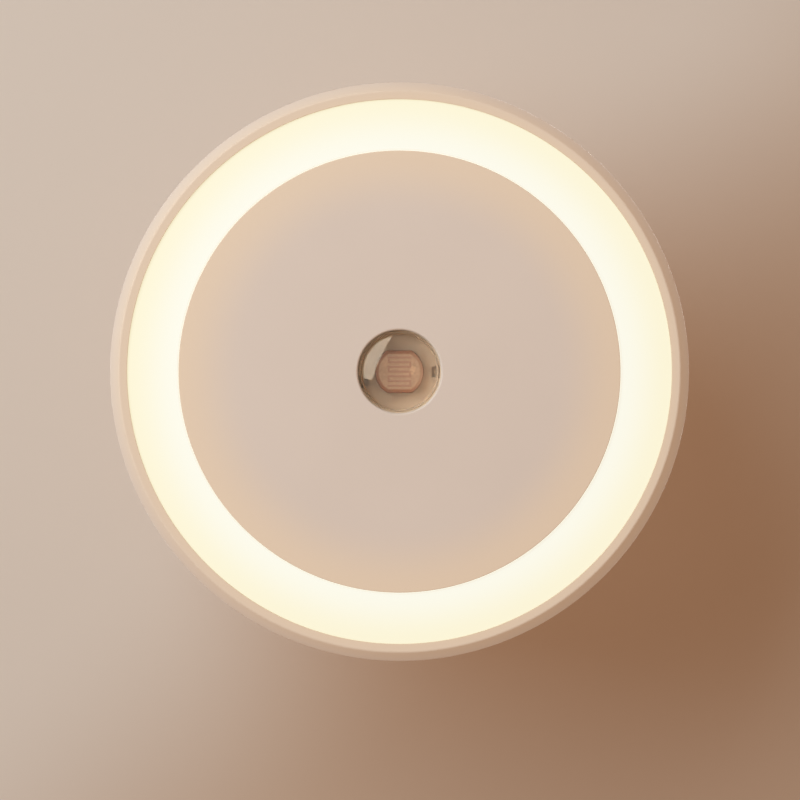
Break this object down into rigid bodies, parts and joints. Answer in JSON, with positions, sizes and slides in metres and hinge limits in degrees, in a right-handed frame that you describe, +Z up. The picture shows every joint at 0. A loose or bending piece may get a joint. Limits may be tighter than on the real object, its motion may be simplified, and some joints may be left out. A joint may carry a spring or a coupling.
{
  "type": "plug-in night light",
  "caption": "Round plug-in dusk-sensing night light: shallow drum with a lit ring round a plain disc, a clear sensor window, a slide switch under the rim and flat plug blades behind.",
  "frame": {"origin": "midway between the plug blades on the flat back face of the boss, which lies against the wall outlet", "axes": "+Y into the wall along the blades, so the lit face looks along -Y; +Z up the wall; +X to the right seen from the front"},
  "size_m": [0.064, 0.042, 0.064],
  "materials": {
    "shell": "fine matt moulded plastic, warm ivory",
    "diffuser": "milky translucent plastic, lit warm white",
    "clear_window": "clear polished plastic",
    "cell_ceramic": "coated ceramic cell",
    "cell_track": "sintered zig-zag track",
    "tinned": "tinned leads",
    "screw_steel": "zinc-plated screws",
    "blade_metal": "nickel-plated brass",
    "lamp_board": "white solder mask",
    "power_board": "tan laminate",
    "lamp_chip": "white moulded chip",
    "phosphor": "yellow silicone",
    "reflector": "matt white film",
    "film_coat": "red-brown dipped coat",
    "can_sleeve": "shrunk black sleeve",
    "black_mould": "black moulding compound",
    "resistor_coat": "tan lacquer",
    "carrier_plastic": "heat-proof plastic",
    "lever_plastic": "white acetal",
    "knob_plastic": "fine matt moulded plastic"
  },
  "bodies": {
    "lamp": {"front_housing": "shell", "rear_cover": "shell", "diffuser_ring": "diffuser", "centre_cap": "shell", "sensor_window": "clear_window", "sensor_sleeve": "shell", "photoresistor_base": "cell_ceramic", "photoresistor_track": "cell_track", "photoresistor_leads": "tinned", "led_board": "lamp_board", "led_packages": "lamp_chip", "led_phosphors": "phosphor", "reflector_sheet": "reflector", "cap_screws": "screw_steel", "power_board": "power_board", "power_board_screws": "screw_steel", "film_capacitor": "film_coat", "smoothing_capacitor": "can_sleeve", "bridge_rectifier": "black_mould", "fuse_resistor": "resistor_coat", "bleed_resistor": "resistor_coat", "sense_transistor": "black_mould", "header_block": "black_mould", "header_pins": "tinned", "blade_left": "blade_metal", "blade_right": "blade_metal", "blade_carrier": "carrier_plastic", "cover_screws": "screw_steel", "switch_body": "black_mould", "switch_terminals": "tinned"},
    "mode_switch": {"switch_lever": "lever_plastic", "switch_knob": "knob_plastic"}
  },
  "joints": [
    {"name": "mode_slide", "type": "slide", "parent": "lamp", "child": "mode_switch", "axis": [1, 0, 0], "range_m": [-0.002, 0.002]}
  ]
}
